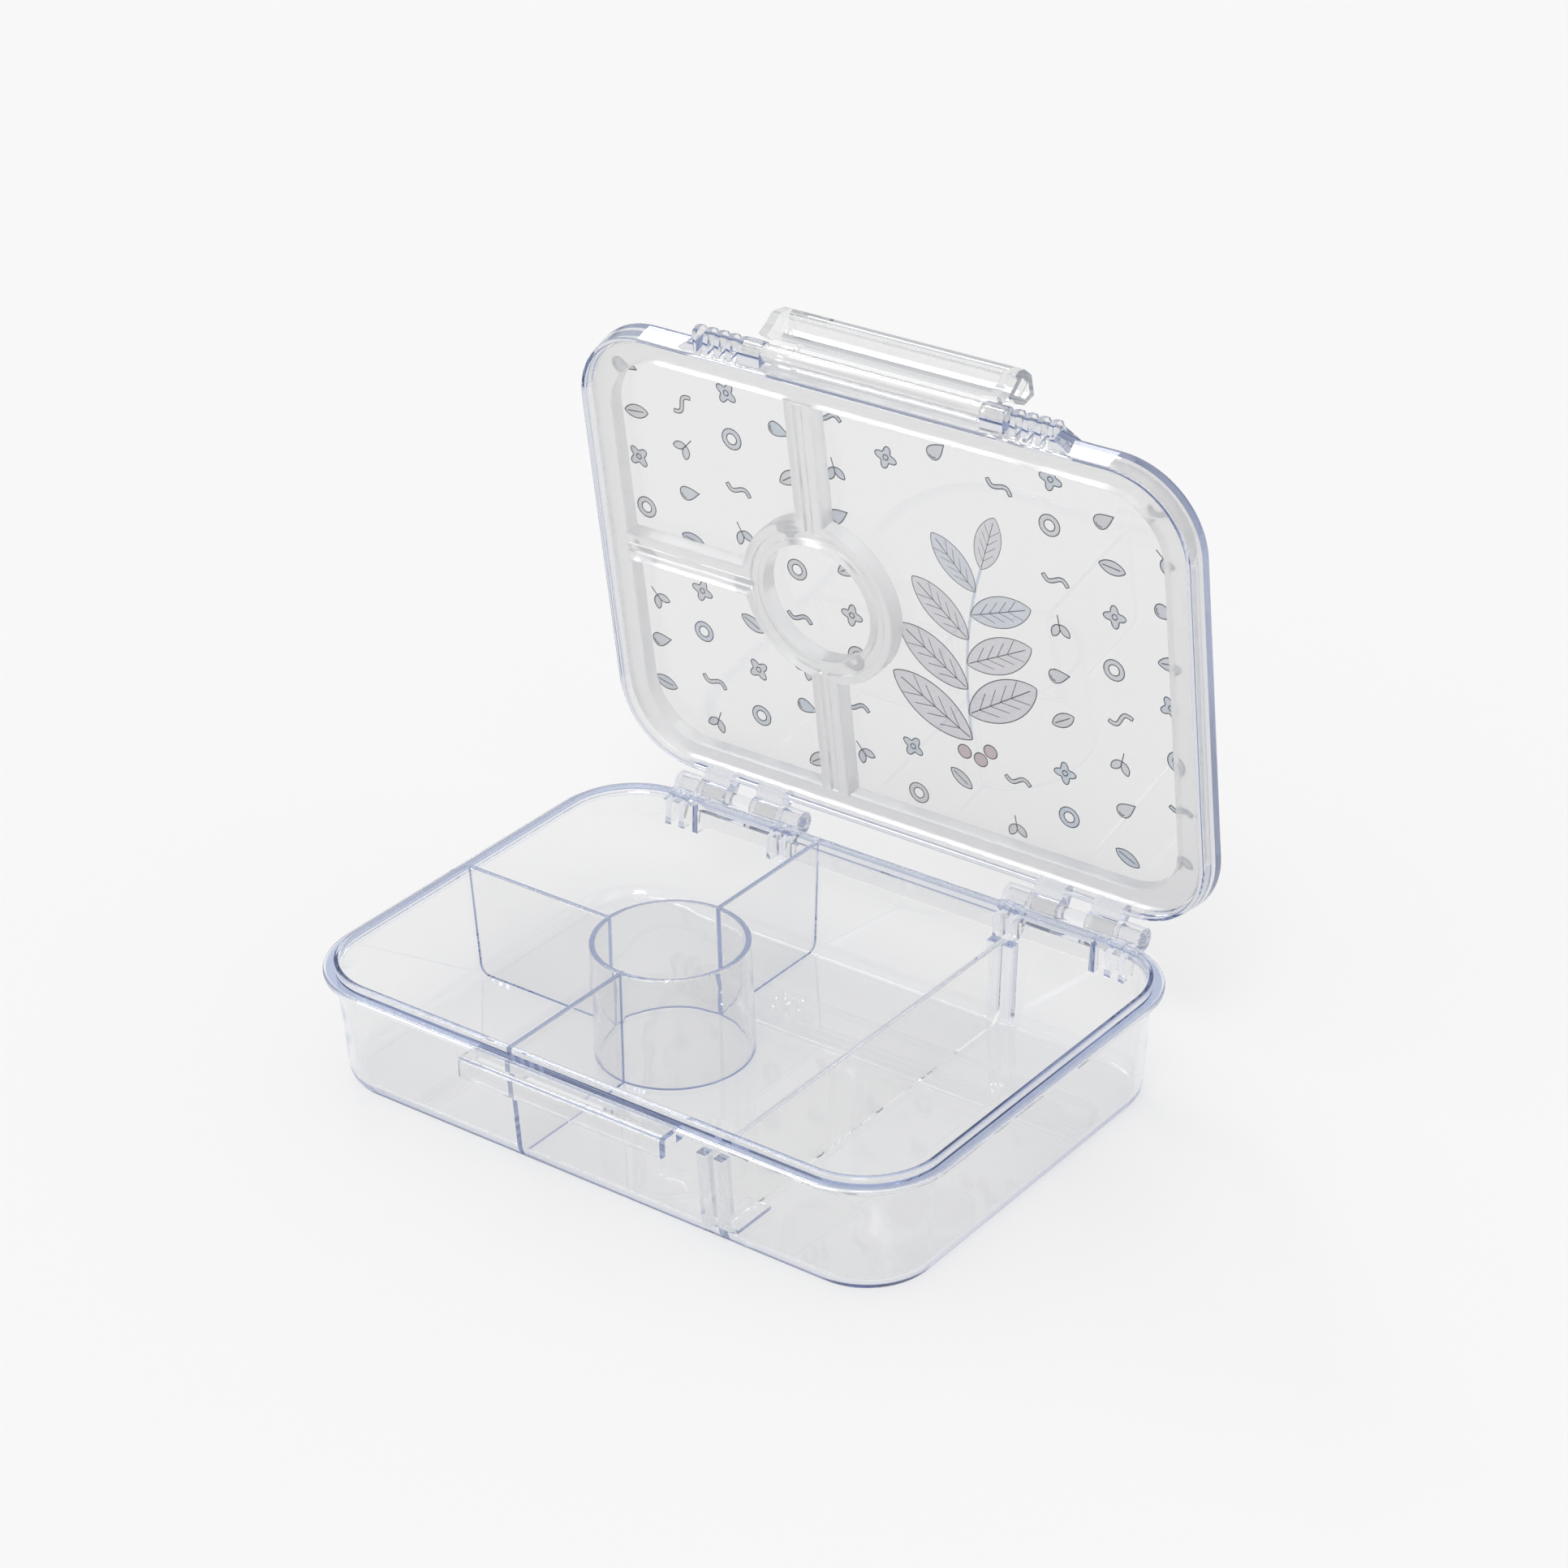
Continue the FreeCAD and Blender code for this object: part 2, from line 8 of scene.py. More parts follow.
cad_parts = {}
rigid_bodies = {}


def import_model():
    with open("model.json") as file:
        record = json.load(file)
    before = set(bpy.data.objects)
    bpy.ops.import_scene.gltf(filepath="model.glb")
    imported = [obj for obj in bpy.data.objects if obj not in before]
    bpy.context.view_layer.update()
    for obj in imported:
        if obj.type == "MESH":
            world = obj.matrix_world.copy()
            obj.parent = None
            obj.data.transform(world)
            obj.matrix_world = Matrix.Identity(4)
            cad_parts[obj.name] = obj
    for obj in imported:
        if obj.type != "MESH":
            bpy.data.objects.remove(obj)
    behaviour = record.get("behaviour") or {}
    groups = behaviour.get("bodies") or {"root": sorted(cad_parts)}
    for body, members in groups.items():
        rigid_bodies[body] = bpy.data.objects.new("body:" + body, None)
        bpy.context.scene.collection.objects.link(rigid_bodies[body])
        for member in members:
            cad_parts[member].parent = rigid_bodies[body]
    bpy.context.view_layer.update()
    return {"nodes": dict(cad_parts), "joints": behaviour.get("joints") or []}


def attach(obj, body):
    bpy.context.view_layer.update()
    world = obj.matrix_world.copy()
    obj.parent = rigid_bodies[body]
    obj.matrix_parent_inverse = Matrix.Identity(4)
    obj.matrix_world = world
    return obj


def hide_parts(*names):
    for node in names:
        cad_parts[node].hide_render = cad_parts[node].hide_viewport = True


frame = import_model()


# Base tray
# One clear injection moulding: walls, floor, fixed dividers, round cup, flange, catch and hinge ears.
# Clear copolymer, polished in the mould, with a blue-violet cast where light runs along its thickness; on the
# flange that cast is also painted light in the colour.
def flat_areas(shape):
    same_plane = 0.999998
    areas = [0.0] * len(shape.faces)
    seen = [False] * len(shape.faces)
    for start in shape.faces:
        if seen[start.index]:
            continue
        seen[start.index] = True
        patch = [start]
        for face in patch:
            for edge in face.edges:
                for other in edge.link_faces:
                    if not seen[other.index] and other.normal.dot(start.normal) > same_plane:
                        seen[other.index] = True
                        patch.append(other)
        total = sum(face.calc_area() for face in patch)
        for face in patch:
            areas[face.index] = total
    return areas


def moulded_copy(node, body, material):
    mesh = frame["nodes"][node].data.copy()
    mesh.name = node + "_moulding"
    shape = bmesh.new()
    shape.from_mesh(mesh)
    weld_distance = 1e-6
    bmesh.ops.remove_doubles(shape, verts=shape.verts, dist=weld_distance)
    shape.faces.ensure_lookup_table()
    shape.faces.index_update()
    shape.normal_update()
    areas = flat_areas(shape)
    soft_limit = math.cos(math.radians(28))
    normals = []
    for face in shape.faces:
        for corner in face.loops:
            normal = Vector((0, 0, 0))
            for other in corner.vert.link_faces:
                if other.normal.dot(face.normal) > soft_limit:
                    normal += other.normal * areas[other.index]
            normals.append(normal.normalized())
    shape.to_mesh(mesh)
    shape.free()
    for polygon in mesh.polygons:
        polygon.use_smooth = True
    mesh.normals_split_custom_set(normals)
    mesh.materials.clear()
    mesh.materials.append(material)
    piece = bpy.data.objects.new(node + "_moulding", mesh)
    bpy.context.scene.collection.objects.link(piece)
    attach(piece, body)
    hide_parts(node)
    return piece


# Shadows, bounced light and light that has turned too often inside a wall pass straight on.
def let_light_through(material, share):
    most_turns = 9
    nodes = material.node_tree.nodes
    links = material.node_tree.links
    open_way = nodes.new("ShaderNodeBsdfTransparent")
    open_way.inputs["Color"].default_value = (*share, 1)
    ray = nodes.new("ShaderNodeLightPath")
    either = nodes.new("ShaderNodeMath")
    either.operation = "MAXIMUM"
    trapped = nodes.new("ShaderNodeMath")
    trapped.operation = "GREATER_THAN"
    trapped.inputs[1].default_value = most_turns
    let_go = nodes.new("ShaderNodeMath")
    let_go.operation = "MAXIMUM"
    split = nodes.new("ShaderNodeMixShader")
    links.new(ray.outputs["Is Shadow Ray"], either.inputs[0])
    links.new(ray.outputs["Is Diffuse Ray"], either.inputs[1])
    links.new(ray.outputs["Ray Depth"], trapped.inputs[0])
    links.new(either.outputs["Value"], let_go.inputs[0])
    links.new(trapped.outputs["Value"], let_go.inputs[1])
    links.new(let_go.outputs["Value"], split.inputs["Fac"])
    links.new(nodes["Principled BSDF"].outputs["BSDF"], split.inputs[1])
    links.new(open_way.outputs["BSDF"], split.inputs[2])
    links.new(split.outputs["Shader"], nodes["Material Output"].inputs["Surface"])


def clear_plastic(name, colour, tint, density, shade):
    material = bpy.data.materials.new(name)
    material.use_nodes = True
    nodes = material.node_tree.nodes
    links = material.node_tree.links
    shader = nodes["Principled BSDF"]
    shader.inputs["Base Color"].default_value = (*colour, 1)
    shader.inputs["Transmission Weight"].default_value = 1.0
    shader.inputs["IOR"].default_value = 1.5
    place = nodes.new("ShaderNodeTexCoord")
    haze = nodes.new("ShaderNodeTexNoise")
    haze.inputs["Scale"].default_value = 60
    haze.inputs["Detail"].default_value = 3
    spread = nodes.new("ShaderNodeMapRange")
    spread.inputs["From Min"].default_value = 0.35
    spread.inputs["From Max"].default_value = 0.75
    spread.inputs["To Min"].default_value = 0.002
    spread.inputs["To Max"].default_value = 0.012
    flow = nodes.new("ShaderNodeTexNoise")
    flow.inputs["Scale"].default_value = 14
    flow.inputs["Detail"].default_value = 1
    ripple = nodes.new("ShaderNodeBump")
    ripple.inputs["Strength"].default_value = 0.08
    ripple.inputs["Distance"].default_value = 0.002
    links.new(place.outputs["Object"], haze.inputs["Vector"])
    links.new(place.outputs["Object"], flow.inputs["Vector"])
    links.new(haze.outputs["Fac"], spread.inputs["Value"])
    links.new(spread.outputs["Result"], shader.inputs["Roughness"])
    links.new(flow.outputs["Fac"], ripple.inputs["Height"])
    links.new(ripple.outputs["Normal"], shader.inputs["Normal"])
    depth = nodes.new("ShaderNodeVolumeAbsorption")
    depth.inputs["Color"].default_value = (*tint, 1)
    depth.inputs["Density"].default_value = density
    links.new(depth.outputs["Volume"], nodes["Material Output"].inputs["Volume"])
    let_light_through(material, shade)
    return material


def window(tree, value, low, high, fade):
    # 1 from low to high, and down to 0 within the fade on either side
    rise = tree.nodes.new("ShaderNodeMapRange")
    rise.inputs["From Min"].default_value = low - fade
    rise.inputs["From Max"].default_value = low
    fall = tree.nodes.new("ShaderNodeMapRange")
    fall.inputs["From Min"].default_value = high + fade
    fall.inputs["From Max"].default_value = high
    both = tree.nodes.new("ShaderNodeMath")
    both.operation = "MULTIPLY"
    tree.links.new(value, rise.inputs["Value"])
    tree.links.new(value, fall.inputs["Value"])
    tree.links.new(rise.outputs["Result"], both.inputs[0])
    tree.links.new(fall.outputs["Result"], both.inputs[1])
    return both.outputs["Value"]


# Light that runs up the walls comes out of the flange and looks blue-violet all round the tray. This glow is
# painted light: a blue band painted into the base colour of the flange's top.
def paint_flange_glow(material, plain, glow_colour, core, across, heights):
    # The distance past the corners' centres is the same all round a rounded rectangle
    ring_fade = 0.0003
    level_fade = 0.0001
    tree = material.node_tree
    place = tree.nodes.new("ShaderNodeTexCoord")
    axes = tree.nodes.new("ShaderNodeSeparateXYZ")
    spread = tree.nodes.new("ShaderNodeVectorMath")
    spread.operation = "ABSOLUTE"
    past_core = tree.nodes.new("ShaderNodeVectorMath")
    past_core.operation = "SUBTRACT"
    past_core.inputs[1].default_value = (*core, 1)
    outside = tree.nodes.new("ShaderNodeVectorMath")
    outside.operation = "MAXIMUM"
    reach = tree.nodes.new("ShaderNodeVectorMath")
    reach.operation = "LENGTH"
    tree.links.new(place.outputs["Object"], axes.inputs["Vector"])
    tree.links.new(place.outputs["Object"], spread.inputs[0])
    tree.links.new(spread.outputs["Vector"], past_core.inputs[0])
    tree.links.new(past_core.outputs["Vector"], outside.inputs[0])
    tree.links.new(outside.outputs["Vector"], reach.inputs[0])
    ring = window(tree, reach.outputs["Value"], *across, ring_fade)
    level = window(tree, axes.outputs["Z"], *heights, level_fade)
    glow_band = tree.nodes.new("ShaderNodeMath")
    glow_band.operation = "MULTIPLY"
    # Painted light: inside the band the base colour turns to the painted blue glow
    hue = tree.nodes.new("ShaderNodeMix")
    hue.data_type = "RGBA"
    hue.inputs["A"].default_value = (*plain, 1)
    hue.inputs["B"].default_value = (*glow_colour, 1)
    tree.links.new(ring, glow_band.inputs[0])
    tree.links.new(level, glow_band.inputs[1])
    tree.links.new(glow_band.outputs["Value"], hue.inputs["Factor"])
    tree.links.new(hue.outputs["Result"], tree.nodes["Principled BSDF"].inputs["Base Color"])


blue_cast = (0.5, 0.58, 0.78)
wall_colour = (0.985, 0.98, 0.967)
flange_glow_colour = (0.55, 0.62, 0.81)
corner_centre = (0.0824, 0.051)
glow_reach = (0.0234, 0.0265)
glow_heights = (0.036, 0.0383)
clear_wall = clear_plastic("clear_wall", wall_colour, blue_cast, 35, (0.99, 0.986, 0.977))
# Painted light: the flange's blue-violet glow is painted into the tray's base colour
paint_flange_glow(clear_wall, wall_colour, flange_glow_colour, corner_centre, glow_reach, glow_heights)
moulded_copy("base_tray", "base", clear_wall)


# Hinge pins
# Two plain rods of the same clear plastic, pushed through the ears and knuckles at the back.
# Drawn through a die, so they are as clear as the moulded pieces.
clear_rod = clear_plastic("clear_rod", (0.985, 0.982, 0.975), blue_cast, 35, (0.985, 0.985, 0.985))
for pin in ("hinge_pin_left", "hinge_pin_right"):
    moulded_copy(pin, "base", clear_rod)


# Lift-out divider
# A thin clear plate with softened edges, dropped into the slots of two guide blocks.
# A clearer grade than the tray, so its long edge stays pale.
clear_plate = clear_plastic("clear_plate", (0.985, 0.982, 0.974), (0.62, 0.69, 0.8), 14, (0.99, 0.988, 0.982))
moulded_copy("divider_panel", "divider", clear_plate)


# Lid shell
# Shallow clear moulding with a flared crown, hinge knuckles behind and ribbed latch ears in front.
# The tray's plastic with a faint grey in it. lid_pose takes what is drawn on the closed lid to the open one.
clear_lid = clear_plastic("clear_lid", (0.912, 0.905, 0.89), blue_cast, 38, (0.93, 0.925, 0.917))
moulded_copy("lid_shell", "lid", clear_lid)

hinge = next(joint for joint in frame["joints"] if joint["name"] == "lid_hinge")
hinge_point = Vector(hinge["pos_m"])
opened = Matrix.Rotation(math.radians(-hinge["range_deg"][0]), 4, Vector(hinge["axis"]))
lid_pose = Matrix.Translation(hinge_point) @ opened @ Matrix.Translation(-hinge_point)


# Lid print
# A screen print on the lid's outer face: small leaves, drops, rings and waves round one large pale sprig.
# Thin blue-grey and grey inks with dark outlines, laid flat on the plastic and cured.
mm = 0.001
lid_face = 0.0478
fill_lift = 0.00003
line_lifts = (0.000015, 0.000045)


def loop_of(place_at, steps=44):
    return [Vector(place_at(math.tau * step / steps)) for step in range(steps)]


def leaf_loop(length, width):
    def place_at(turn):
        return length * math.cos(turn), width * math.sin(turn) * abs(math.sin(turn)) ** 0.5
    return loop_of(place_at)


def circle_loop(radius):
    return loop_of(lambda turn: (radius * math.cos(turn), radius * math.sin(turn)))


def turned(points, degrees, x, y):
    spin = Matrix.Rotation(math.radians(degrees), 2)
    return [spin @ point + Vector((x, y)) for point in points]


def stroke(points, width, closed):
    pairs = []
    for step, point in enumerate(points):
        before = points[step - 1] if closed or step else point
        after = points[(step + 1) % len(points)] if closed or step < len(points) - 1 else point
        along = (after - before).normalized()
        across = Vector((-along.y, along.x)) * width / 2
        pairs.append((point - across, point + across))
    return pairs


def ink_film(name, patches, strokes, lifts):
    corners = []
    faces = []
    for lift in lifts:
        for patch in patches:
            faces.append(list(range(len(corners), len(corners) + len(patch))))
            corners += [(point.x * mm, point.y * mm, lift) for point in patch]
        for points, width, closed in strokes:
            first = len(corners)
            count = len(points)
            for pair in stroke(points, width, closed):
                corners += [(point.x * mm, point.y * mm, lift) for point in pair]
            for step in range(count if closed else count - 1):
                here = first + 2 * step
                there = first + 2 * ((step + 1) % count)
                faces.append([here, there, there + 1, here + 1])
    mesh = bpy.data.meshes.new(name)
    mesh.from_pydata(corners, [], faces)
    return bpy.data.objects.new(name, mesh)


def printed_ink(name, cool, plain, solid):
    material = bpy.data.materials.new(name)
    material.use_nodes = True
    nodes = material.node_tree.nodes
    links = material.node_tree.links
    shader = nodes["Principled BSDF"]
    shader.inputs["Roughness"].default_value = 0.55
    shader.inputs["Alpha"].default_value = solid
    tone = nodes.new("ShaderNodeAttribute")
    tone.attribute_name = "tone"
    place = nodes.new("ShaderNodeTexCoord")
    screen = nodes.new("ShaderNodeTexNoise")
    screen.inputs["Scale"].default_value = 900
    speckle = nodes.new("ShaderNodeMath")
    speckle.operation = "MULTIPLY_ADD"
    speckle.inputs[1].default_value = 0.3
    hue = nodes.new("ShaderNodeValToRGB")
    hue.color_ramp.elements[0].position = 0.2
    hue.color_ramp.elements[0].color = (*cool, 1)
    hue.color_ramp.elements[1].position = 0.95
    hue.color_ramp.elements[1].color = (*plain, 1)
    links.new(place.outputs["Object"], screen.inputs["Vector"])
    links.new(screen.outputs["Fac"], speckle.inputs[0])
    links.new(tone.outputs["Fac"], speckle.inputs[2])
    links.new(speckle.outputs["Value"], hue.inputs["Fac"])
    links.new(hue.outputs["Color"], shader.inputs["Base Color"])
    return material


def tree_input(tree, name, kind):
    return tree.interface.new_socket(name=name, in_out="INPUT", socket_type=kind).identifier


def tree_step(tree, kind, **settings):
    step = tree.nodes.new(kind)
    for setting, value in settings.items():
        setattr(step, setting, value)
    return step


def tree_math(tree, operation, first, second):
    step = tree_step(tree, "ShaderNodeMath", operation=operation)
    for socket, value in zip(step.inputs, (first, second)):
        if isinstance(value, (int, float)):
            socket.default_value = value
        else:
            tree.links.new(value, socket)
    return step.outputs["Value"]


def tree_end(tree, points, instance, rotation, scale, index, given):
    put = tree_step(tree, "GeometryNodeInstanceOnPoints")
    put.inputs["Pick Instance"].default_value = index is not None
    spin = tree_step(tree, "ShaderNodeCombineXYZ")
    tone = tree_step(tree, "FunctionNodeRandomValue", data_type="FLOAT")
    keep = tree_step(tree, "GeometryNodeStoreNamedAttribute", data_type="FLOAT", domain="INSTANCE")
    keep.inputs["Name"].default_value = "tone"
    real = tree_step(tree, "GeometryNodeRealizeInstances")
    inked = tree_step(tree, "GeometryNodeSetMaterial")
    tree.interface.new_socket(name="Geometry", in_out="OUTPUT", socket_type="NodeSocketGeometry")
    out = tree_step(tree, "NodeGroupOutput")
    tree.links.new(points, put.inputs["Points"])
    tree.links.new(instance, put.inputs["Instance"])
    tree.links.new(rotation, spin.inputs["Z"])
    tree.links.new(spin.outputs["Vector"], put.inputs["Rotation"])
    if index is not None:
        tree.links.new(index, put.inputs["Instance Index"])
    if scale is not None:
        tree.links.new(scale, put.inputs["Scale"])
    tree.links.new(given.outputs["Seed"], tone.inputs["Seed"])
    tree.links.new(put.outputs["Instances"], keep.inputs["Geometry"])
    tree.links.new(tone.outputs[1], keep.inputs["Value"])
    tree.links.new(keep.outputs["Geometry"], real.inputs["Geometry"])
    tree.links.new(real.outputs["Geometry"], inked.inputs["Geometry"])
    tree.links.new(given.outputs["Ink"], inked.inputs["Material"])
    tree.links.new(inked.outputs["Geometry"], out.inputs["Geometry"])


def scattered_print():
    tree = bpy.data.node_groups.new("scattered_print", "GeometryNodeTree")
    tree_input(tree, "Geometry", "NodeSocketGeometry")
    names = (
        ("Motifs", "NodeSocketCollection"), ("Ink", "NodeSocketMaterial"), ("Kinds", "NodeSocketInt"),
        ("Columns", "NodeSocketInt"), ("Rows", "NodeSocketInt"), ("Column Pitch", "NodeSocketFloat"),
        ("Row Pitch", "NodeSocketFloat"), ("Stray", "NodeSocketFloat"), ("Lean", "NodeSocketFloat"),
        ("Bare Centre", "NodeSocketVector"), ("Bare Reach", "NodeSocketVector"), ("Seed", "NodeSocketInt"),
    )
    knobs = {name: tree_input(tree, name, kind) for name, kind in names}
    given = tree_step(tree, "NodeGroupInput")
    link = tree.links.new
    grid = tree_step(tree, "GeometryNodeMeshGrid")
    for side, count, pitch in (("X", "Columns", "Column Pitch"), ("Y", "Rows", "Row Pitch")):
        steps = tree_math(tree, "SUBTRACT", given.outputs[count], 1)
        link(tree_math(tree, "MULTIPLY", steps, given.outputs[pitch]), grid.inputs["Size " + side])
        link(given.outputs[count], grid.inputs["Vertices " + side])
    number = tree_step(tree, "GeometryNodeInputIndex").outputs["Index"]
    column = tree_math(tree, "FLOOR", tree_math(tree, "DIVIDE", number, given.outputs["Rows"]), 0)
    row = tree_math(tree, "MODULO", number, given.outputs["Rows"])
    odd = tree_math(tree, "SUBTRACT", tree_math(tree, "MODULO", column, 2), 0.5)
    half = tree_math(tree, "MULTIPLY", given.outputs["Row Pitch"], 0.5)
    shifts = []
    for low, extra in ((0, None), (1, tree_math(tree, "MULTIPLY", odd, half))):
        chance = tree_step(tree, "FunctionNodeRandomValue", data_type="FLOAT")
        chance.inputs[2].default_value = -1
        link(tree_math(tree, "ADD", given.outputs["Seed"], low), chance.inputs["Seed"])
        stray = tree_math(tree, "MULTIPLY", chance.outputs[1], given.outputs["Stray"])
        shifts.append(stray if extra is None else tree_math(tree, "ADD", stray, extra))
    shift = tree_step(tree, "ShaderNodeCombineXYZ")
    link(shifts[0], shift.inputs["X"])
    link(shifts[1], shift.inputs["Y"])
    moved = tree_step(tree, "GeometryNodeSetPosition")
    link(grid.outputs["Mesh"], moved.inputs["Geometry"])
    link(shift.outputs["Vector"], moved.inputs["Offset"])
    away = tree_step(tree, "ShaderNodeVectorMath", operation="SUBTRACT")
    share = tree_step(tree, "ShaderNodeVectorMath", operation="DIVIDE")
    squared = tree_step(tree, "ShaderNodeVectorMath", operation="MULTIPLY")
    far = tree_step(tree, "ShaderNodeVectorMath", operation="LENGTH")
    link(tree_step(tree, "GeometryNodeInputPosition").outputs["Position"], away.inputs[0])
    link(given.outputs["Bare Centre"], away.inputs[1])
    link(away.outputs["Vector"], share.inputs[0])
    link(given.outputs["Bare Reach"], share.inputs[1])
    link(share.outputs["Vector"], squared.inputs[0])
    link(share.outputs["Vector"], squared.inputs[1])
    link(squared.outputs["Vector"], far.inputs[0])
    bare = tree_step(tree, "GeometryNodeDeleteGeometry", domain="POINT")
    link(tree_math(tree, "LESS_THAN", far.outputs["Value"], 1), bare.inputs["Selection"])
    turn_taken = tree_math(tree, "ADD", tree_math(tree, "MULTIPLY", column, 4), row)
    kind = tree_math(tree, "MODULO", turn_taken, given.outputs["Kinds"])
    marked = tree_step(tree, "GeometryNodeStoreNamedAttribute", data_type="INT", domain="POINT")
    marked.inputs["Name"].default_value = "kind"
    link(moved.outputs["Geometry"], marked.inputs["Geometry"])
    link(kind, marked.inputs["Value"])
    link(marked.outputs["Geometry"], bare.inputs["Geometry"])
    kept = tree_step(tree, "GeometryNodeInputNamedAttribute", data_type="INT")
    kept.inputs["Name"].default_value = "kind"
    chance = tree_step(tree, "FunctionNodeRandomValue", data_type="FLOAT")
    chance.inputs[2].default_value = -1
    link(tree_math(tree, "ADD", given.outputs["Seed"], 2), chance.inputs["Seed"])
    lean = tree_math(tree, "MULTIPLY", chance.outputs[1], given.outputs["Lean"])
    group = tree_step(tree, "GeometryNodeCollectionInfo")
    group.inputs["Separate Children"].default_value = True
    link(given.outputs["Motifs"], group.inputs["Collection"])
    picked = kept.outputs["Attribute"]
    tree_end(tree, bare.outputs["Geometry"], group.outputs["Instances"], lean, None, picked, given)
    return tree, knobs


def leafy_stem():
    tree = bpy.data.node_groups.new("leafy_stem", "GeometryNodeTree")
    tree_input(tree, "Geometry", "NodeSocketGeometry")
    names = (
        ("Leaf", "NodeSocketObject"), ("Ink", "NodeSocketMaterial"), ("Leaves", "NodeSocketInt"),
        ("Foot", "NodeSocketVector"), ("Bend", "NodeSocketVector"), ("Tip", "NodeSocketVector"),
        ("Spread", "NodeSocketFloat"), ("Tip Size", "NodeSocketFloat"), ("Seed", "NodeSocketInt"),
    )
    knobs = {name: tree_input(tree, name, kind) for name, kind in names}
    given = tree_step(tree, "NodeGroupInput")
    link = tree.links.new
    stem = tree_step(tree, "GeometryNodeCurveQuadraticBezier")
    for socket, name in (("Start", "Foot"), ("Middle", "Bend"), ("End", "Tip")):
        link(given.outputs[name], stem.inputs[socket])
    even = tree_step(tree, "GeometryNodeResampleCurve")
    link(stem.outputs["Curve"], even.inputs["Curve"])
    link(given.outputs["Leaves"], even.inputs["Count"])
    along = tree_step(tree, "ShaderNodeSeparateXYZ")
    link(tree_step(tree, "GeometryNodeInputTangent").outputs["Tangent"], along.inputs["Vector"])
    heading = tree_math(tree, "ARCTAN2", along.outputs["Y"], along.outputs["X"])
    number = tree_step(tree, "GeometryNodeInputIndex").outputs["Index"]
    odd = tree_math(tree, "MODULO", number, 2)
    side = tree_math(tree, "SUBTRACT", tree_math(tree, "MULTIPLY", odd, 2), 1)
    part = tree_step(tree, "GeometryNodeSplineParameter").outputs["Factor"]
    open_side = tree_math(tree, "MULTIPLY", side, tree_math(tree, "LESS_THAN", part, 0.99))
    turn = tree_math(tree, "ADD", heading, tree_math(tree, "MULTIPLY", open_side, given.outputs["Spread"]))
    less = tree_math(tree, "MULTIPLY", part, tree_math(tree, "SUBTRACT", 1, given.outputs["Tip Size"]))
    size = tree_math(tree, "SUBTRACT", 1, less)
    leaf = tree_step(tree, "GeometryNodeObjectInfo")
    link(given.outputs["Leaf"], leaf.inputs["Object"])
    tree_end(tree, even.outputs["Curve"], leaf.outputs["Geometry"], turn, size, None, given)
    return tree, knobs


def on_lid(piece):
    piece.data.transform(lid_pose @ Matrix.Translation((0, 0, lid_face)))
    if piece.name not in bpy.context.scene.collection.objects:
        bpy.context.scene.collection.objects.link(piece)
    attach(piece, "lid")


def grown(name, built, settings):
    tree, knobs = built
    holder = bpy.data.objects.new(name, bpy.data.meshes.new(name))
    bpy.context.scene.collection.objects.link(holder)
    modifier = holder.modifiers.new("print", "NODES")
    modifier.node_group = tree
    for knob, value in settings.items():
        modifier[knobs[knob]] = value
    depsgraph = bpy.context.evaluated_depsgraph_get()
    mesh = bpy.data.meshes.new_from_object(holder.evaluated_get(depsgraph), depsgraph=depsgraph)
    holder.modifiers.clear()
    holder.data = mesh
    on_lid(holder)


leaf = leaf_loop(4.5, 2.3)
rib = [Vector((x, 0)) for x in (-3.4, 0, 2.8)]
drop = loop_of(lambda turn: (3.8 * math.cos(turn), 3.3 * math.sin(turn) * math.sin(turn / 2) ** 1.4))
glint = [Vector((-1.6 + 1.6 * math.cos(turn), 1.6 * math.sin(turn))) for turn in (1.8, 2.2, 2.6, 3.0, 3.4)]


def petal_edge(turn):
    reach = 3.0 + 0.9 * math.cos(4 * turn)
    return reach * math.cos(turn), reach * math.sin(turn)


petals = loop_of(petal_edge, 64)
ripple_line = [Vector((-4.4 + 0.4 * step, 1.3 * math.sin(0.29 * step))) for step in range(23)]
ripple_edge = [first for first, second in stroke(ripple_line, 1.3, False)]
ripple_edge += [second for first, second in reversed(stroke(ripple_line, 1.3, False))]
small_leaf = leaf_loop(2.4, 1.35)
twins = [turned(small_leaf, 55, 1.6, 1.9), turned(small_leaf, 125, -1.6, 1.9)]
stalk = [Vector((0, y)) for y in (0.2, -1.6, -3.4)]
ring_line = circle_loop(2.7)
motifs = {
    "leaf": ([leaf], [], [(leaf, True), (rib, False)]),
    "drop": ([drop], [], [(drop, True), (glint, False)]),
    "petals": ([petals], [], [(petals, True), (circle_loop(0.9), True)]),
    "ring": ([], [(ring_line, 1.7, True)], [(circle_loop(3.55), True), (circle_loop(1.85), True)]),
    "ripple": ([ripple_edge], [], [(ripple_edge, True)]),
    "twins": (twins, [], [(twins[0], True), (twins[1], True), (stalk, False)]),
}
line_width = 0.36
fill_ink = printed_ink("fill_ink", (0.63, 0.74, 0.88), (0.82, 0.81, 0.84), 0.7)
line_ink = printed_ink("line_ink", (0.07, 0.09, 0.11), (0.12, 0.135, 0.15), 1.0)
pale_ink = printed_ink("pale_ink", (0.66, 0.76, 0.9), (0.84, 0.8, 0.86), 0.62)
berry_ink = printed_ink("berry_ink", (0.72, 0.55, 0.58), (0.76, 0.6, 0.63), 0.8)
fills = bpy.data.collections.new("motif_fills")
outlines = bpy.data.collections.new("motif_outlines")
for name, (patches, bands, lines) in motifs.items():
    fills.objects.link(ink_film("fill_" + name, patches, bands, [fill_lift]))
    runs = [(points, line_width, closed) for points, closed in lines]
    outlines.objects.link(ink_film("line_" + name, [], runs, line_lifts))
scatter = scattered_print()
